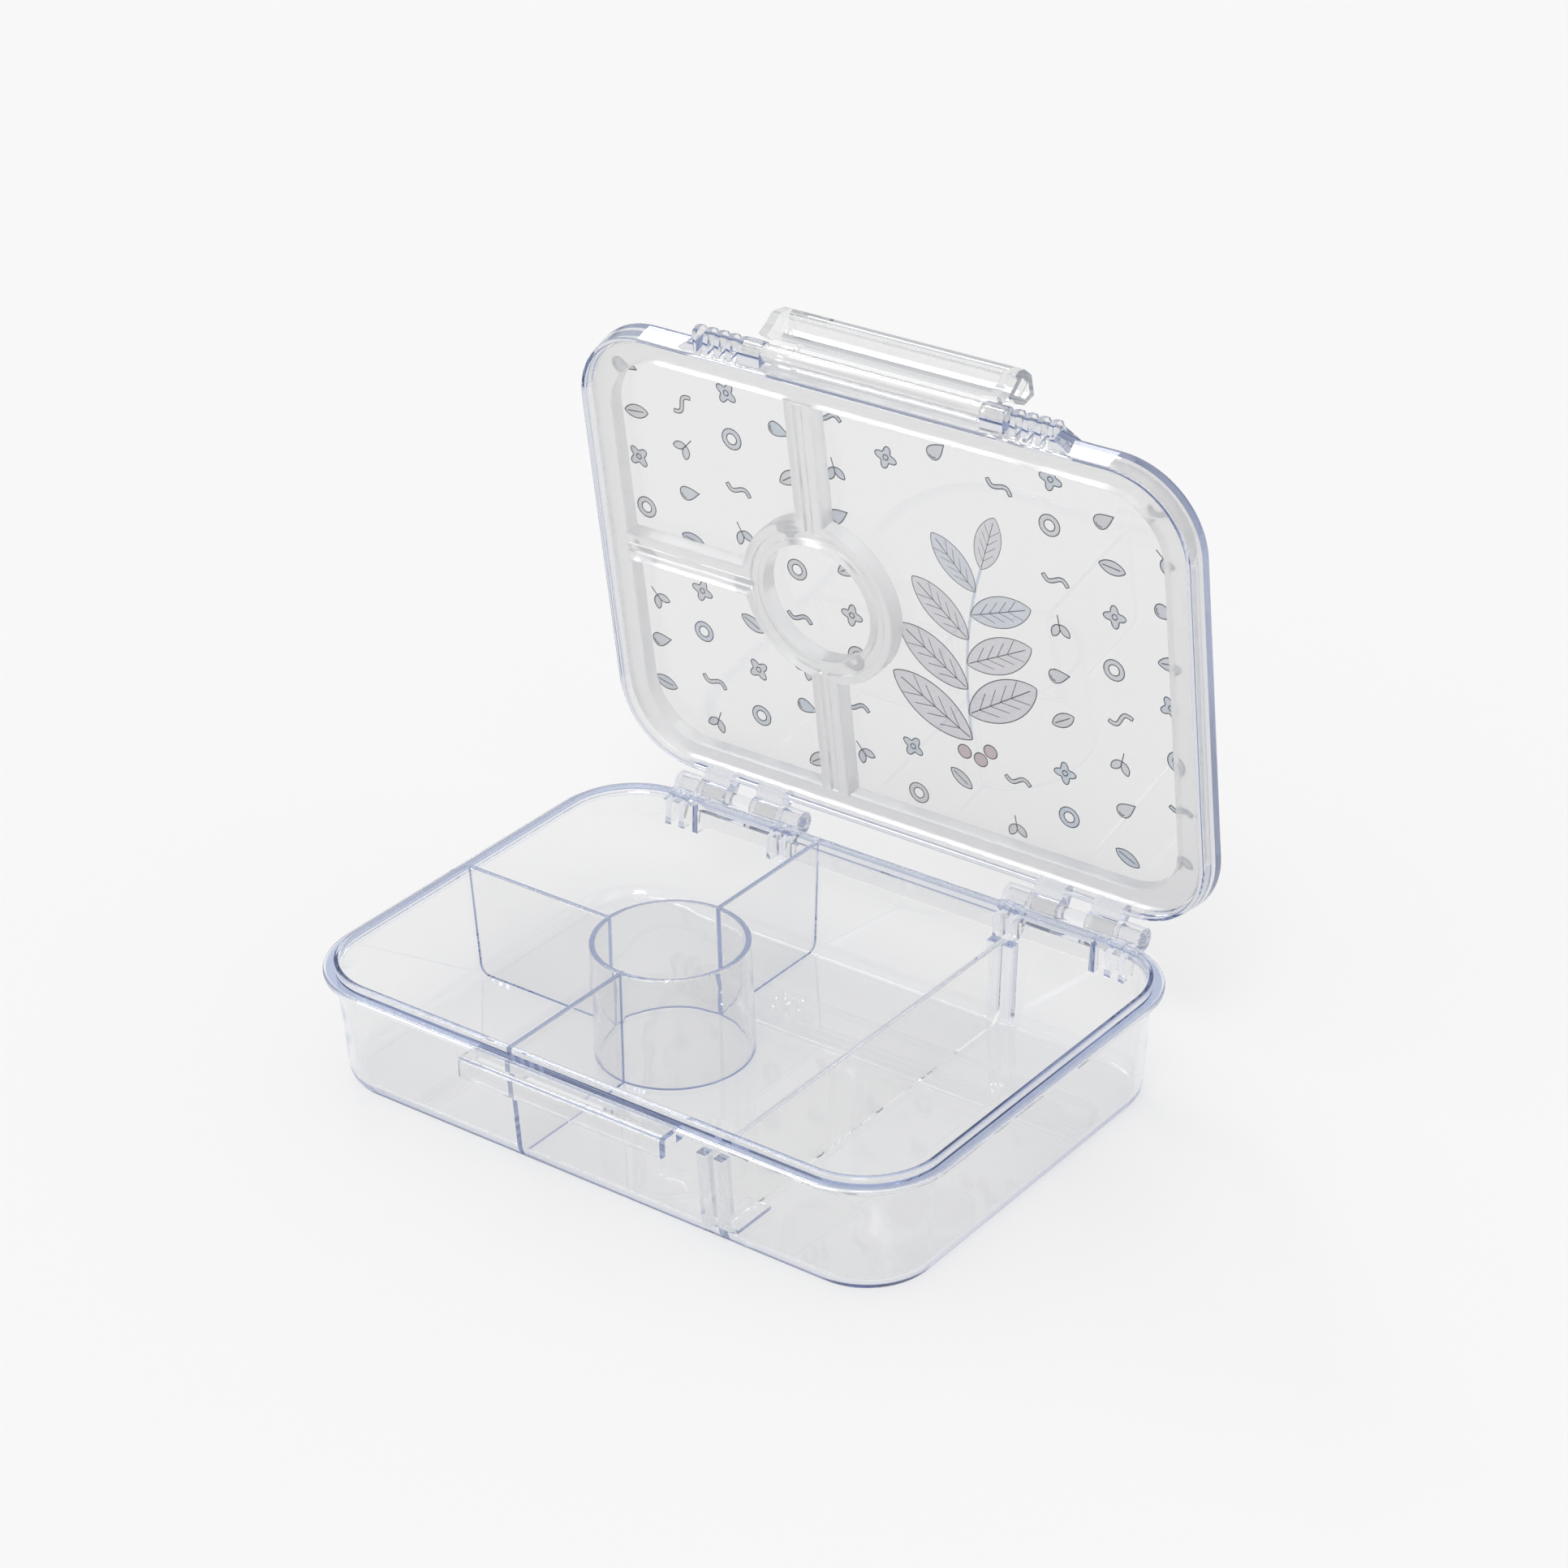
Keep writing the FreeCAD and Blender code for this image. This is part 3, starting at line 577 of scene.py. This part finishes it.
layout = {
    "Kinds": len(motifs), "Columns": 11, "Rows": 8, "Column Pitch": 0.0192, "Row Pitch": 0.0166,
    "Stray": 0.0014, "Lean": 0.8, "Bare Centre": (0.026, -0.002, 0), "Bare Reach": (0.0305, 0.049, 1),
    "Seed": 5,
}
grown("print_fills", scatter, {"Motifs": fills, "Ink": fill_ink, **layout})
grown("print_outlines", scatter, {"Motifs": outlines, "Ink": line_ink, **layout})

foot = Vector((23, 37))
bend = Vector((21, 2))
tip = Vector((31, -25))
leaf_half = 16
sprig_leaf = turned(leaf_loop(leaf_half, 7.2), 0, leaf_half, 0)
veins = [[Vector((x, 0)), Vector((x + 6, side * 4.4))] for x in (5, 10, 15, 20) for side in (-1, 1)]
sprig_lines = [(sprig_leaf, line_width, True), ([Vector((1, 0)), Vector((29, 0))], line_width, False)]
sprig_lines += [(vein, line_width * 0.7, False) for vein in veins]
stem_steps = [step / 24 for step in range(25)]
stem_line = [(1 - s) ** 2 * foot + 2 * s * (1 - s) * bend + s ** 2 * tip for s in stem_steps]
berry = circle_loop(2.4)
berry_places = ((-3.2, 5.4), (2.6, 6.6), (6.4, 2.6))
berries = [turned(berry, 0, foot.x + x, foot.y + y) for x, y in berry_places]
sprig_fill = ink_film("sprig_leaf_fill", [sprig_leaf], [], [fill_lift])
sprig_edge = ink_film("sprig_leaf_lines", [], sprig_lines, line_lifts)
stem = leafy_stem()
growth = {
    "Leaves": 8, "Foot": (*foot * mm, 0), "Bend": (*bend * mm, 0), "Tip": (*tip * mm, 0),
    "Spread": 1.0, "Tip Size": 0.62, "Seed": 3,
}
grown("sprig_fills", stem, {"Leaf": sprig_fill, "Ink": pale_ink, **growth})
grown("sprig_outlines", stem, {"Leaf": sprig_edge, "Ink": line_ink, **growth})
sprig_stem = ink_film("sprig_stem", [], [(stem_line, 1.0, False)], [fill_lift])
sprig_stem.data.materials.append(pale_ink)
sprig_berries = ink_film("sprig_berries", berries, [], [fill_lift])
sprig_berries.data.materials.append(berry_ink)
rims = [(edge, line_width, True) for edge in berries]
berry_rims = ink_film("sprig_berry_rims", [], rims, line_lifts)
berry_rims.data.materials.append(line_ink)
for film in (sprig_stem, sprig_berries, berry_rims):
    on_lid(film)
for motif in (*fills.objects, *outlines.objects, sprig_fill, sprig_edge):
    bpy.data.objects.remove(motif)


# Lid seal
# One soft milky silicone moulding: a frame round the rim, a ring over the cup and arms over the dividers.
# It is pressed into the lid and stays there, so it has a satin skin with faint mottling.
def milky_silicone():
    material = bpy.data.materials.new("seal_silicone")
    material.use_nodes = True
    nodes = material.node_tree.nodes
    links = material.node_tree.links
    shader = nodes["Principled BSDF"]
    shader.inputs["Transmission Weight"].default_value = 0.88
    shader.inputs["IOR"].default_value = 1.41
    place = nodes.new("ShaderNodeTexCoord")
    cloud = nodes.new("ShaderNodeTexNoise")
    cloud.inputs["Scale"].default_value = 45
    cloud.inputs["Detail"].default_value = 4
    shade = nodes.new("ShaderNodeValToRGB")
    shade.color_ramp.elements[0].color = (0.95, 0.95, 0.955, 1)
    shade.color_ramp.elements[1].color = (0.985, 0.985, 0.985, 1)
    spread = nodes.new("ShaderNodeMapRange")
    spread.inputs["To Min"].default_value = 0.26
    spread.inputs["To Max"].default_value = 0.36
    skin = nodes.new("ShaderNodeTexNoise")
    skin.inputs["Scale"].default_value = 1800
    edge = nodes.new("ShaderNodeBevel")
    edge.inputs["Radius"].default_value = 0.0005
    grain = nodes.new("ShaderNodeBump")
    grain.inputs["Strength"].default_value = 0.06
    grain.inputs["Distance"].default_value = 0.0002
    links.new(place.outputs["Object"], cloud.inputs["Vector"])
    links.new(place.outputs["Object"], skin.inputs["Vector"])
    links.new(cloud.outputs["Fac"], shade.inputs["Fac"])
    links.new(shade.outputs["Color"], shader.inputs["Base Color"])
    links.new(cloud.outputs["Fac"], spread.inputs["Value"])
    links.new(spread.outputs["Result"], shader.inputs["Roughness"])
    links.new(skin.outputs["Fac"], grain.inputs["Height"])
    links.new(edge.outputs["Normal"], grain.inputs["Normal"])
    links.new(grain.outputs["Normal"], shader.inputs["Normal"])
    let_light_through(material, (0.93, 0.93, 0.93))
    return material


seal = moulded_copy("lid_seal", "lid", milky_silicone())
seat_gap = 0.00006
inward = lid_pose.to_3x3() @ Vector((0, 0, -seat_gap))
seal.data.transform(Matrix.Translation(inward))


# Latch
# A clear flap with a hollow grip on its free edge, swung on a thin rod held in the lid's ears.
# Clear plastic with a grey cast in its thickness instead of a blue one. The rod is whiter and half clear.
clear_flap = clear_plastic("clear_flap", (0.985, 0.982, 0.976), (0.46, 0.5, 0.56), 28, (0.99, 0.988, 0.982))
pale_rod = clear_plastic("pale_rod", (0.985, 0.985, 0.985), (0.8, 0.84, 0.9), 10, (0.985, 0.985, 0.985))
pale_rod.node_tree.nodes["Principled BSDF"].inputs["Transmission Weight"].default_value = 0.5
moulded_copy("latch_pin", "lid", pale_rod)
moulded_copy("latch_flap", "latch", clear_flap)


# Studio
# A plain pale floor, even light from all round that is dimmer near the horizon, and two broad soft suns.
# Seen directly or straight through a clear wall, the far background is as pale as the floor.
floor_mesh = bpy.data.meshes.new("floor")
reach = 6.0
corners = [(-reach, -reach, 0), (reach, -reach, 0), (reach, reach, 0), (-reach, reach, 0)]
floor_mesh.from_pydata(corners, [], [(0, 1, 2, 3)])
floor = bpy.data.objects.new("floor", floor_mesh)
bpy.context.scene.collection.objects.link(floor)
floor.location.z = -0.0002
pale = bpy.data.materials.new("pale_floor")
pale.use_nodes = True
pale_shader = pale.node_tree.nodes["Principled BSDF"]
pale_shader.inputs["Base Color"].default_value = (0.9, 0.9, 0.9, 1)
pale_shader.inputs["Roughness"].default_value = 0.9
pale_shader.inputs["Specular IOR Level"].default_value = 0.1
floor_mesh.materials.append(pale)

world = bpy.data.worlds.new("studio")
world.use_nodes = True
sky_nodes = world.node_tree.nodes
sky_links = world.node_tree.links
sky = sky_nodes["Background"]
way = sky_nodes.new("ShaderNodeTexCoord")
parts = sky_nodes.new("ShaderNodeSeparateXYZ")
climb = sky_nodes.new("ShaderNodeMapRange")
climb.interpolation_type = "SMOOTHSTEP"
climb.inputs["From Min"].default_value = 0.05
climb.inputs["From Max"].default_value = 0.32
climb.inputs["To Min"].default_value = 0.2
climb.inputs["To Max"].default_value = 0.84
sky_links.new(way.outputs["Generated"], parts.inputs["Vector"])
sky_links.new(parts.outputs["Z"], climb.inputs["Value"])
ray = sky_nodes.new("ShaderNodeLightPath")
straight_turns = 7
straight = sky_nodes.new("ShaderNodeMath")
straight.operation = "LESS_THAN"
straight.inputs[1].default_value = straight_turns
through = sky_nodes.new("ShaderNodeMath")
through.operation = "MULTIPLY"
seen = sky_nodes.new("ShaderNodeMath")
seen.operation = "MAXIMUM"
pale_background = 0.94
brightness = sky_nodes.new("ShaderNodeMix")
brightness.inputs["B"].default_value = pale_background
sky_links.new(ray.outputs["Ray Depth"], straight.inputs[0])
sky_links.new(straight.outputs["Value"], through.inputs[0])
sky_links.new(ray.outputs["Is Transmission Ray"], through.inputs[1])
sky_links.new(through.outputs["Value"], seen.inputs[0])
sky_links.new(ray.outputs["Is Camera Ray"], seen.inputs[1])
sky_links.new(seen.outputs["Value"], brightness.inputs["Factor"])
sky_links.new(climb.outputs["Result"], brightness.inputs["A"])
sky_links.new(brightness.outputs["Result"], sky.inputs["Strength"])
sky.inputs["Color"].default_value = (1, 1, 1, 1)
bpy.context.scene.world = world

box_middle = Vector((0, 0, 0.05))
for lamp_name, energy, spread, place in (
    ("soft_sun", 0.62, 18, Vector((0.35, -0.75, 1.4))),
    ("rear_sun", 0.28, 12, Vector((-0.75, 0.6, 1.0))),
):
    lamp_data = bpy.data.lights.new(lamp_name, "SUN")
    lamp_data.energy = energy
    lamp_data.angle = math.radians(spread)
    lamp = bpy.data.objects.new(lamp_name, lamp_data)
    lamp.location = place
    lamp_aim = box_middle - place
    lamp.rotation_euler = lamp_aim.to_track_quat("-Z", "Y").to_euler()
    bpy.context.scene.collection.objects.link(lamp)

# Light passes many clear walls before it leaves the box, so it may turn more often than usual.
bpy.context.scene.cycles.max_bounces = 28
bpy.context.scene.cycles.transmission_bounces = 28
bpy.context.scene.cycles.glossy_bounces = 12
bpy.context.scene.cycles.transparent_max_bounces = 40


# Camera
# Fitted to the picture's own edges: a long lens from the front right, looking down, with a slight roll.
azimuth = math.radians(37.46)
elevation = math.radians(28.18)
roll = math.radians(-1.21)
target = Vector((0.01743, 0, 0.10551))
distance = 1.18316
flat = math.cos(elevation)
back = Vector((math.sin(azimuth) * flat, -math.cos(azimuth) * flat, math.sin(elevation)))
level = back.cross(Vector((0, 0, 1))).normalized() * -1
upright = back.cross(level)
right = level * math.cos(roll) + upright * math.sin(roll)
top = upright * math.cos(roll) - level * math.sin(roll)
eye = target + back * distance
camera_data = bpy.data.cameras.new("camera")
camera_data.sensor_width = 36
camera_data.lens = 95.467
camera_data.clip_end = 20
camera = bpy.data.objects.new("camera", camera_data)
camera.matrix_world = Matrix((
    (right.x, top.x, back.x, eye.x),
    (right.y, top.y, back.y, eye.y),
    (right.z, top.z, back.z, eye.z),
    (0, 0, 0, 1),
))
bpy.context.scene.collection.objects.link(camera)
bpy.context.scene.camera = camera
bpy.context.scene.view_settings.view_transform = "Standard"
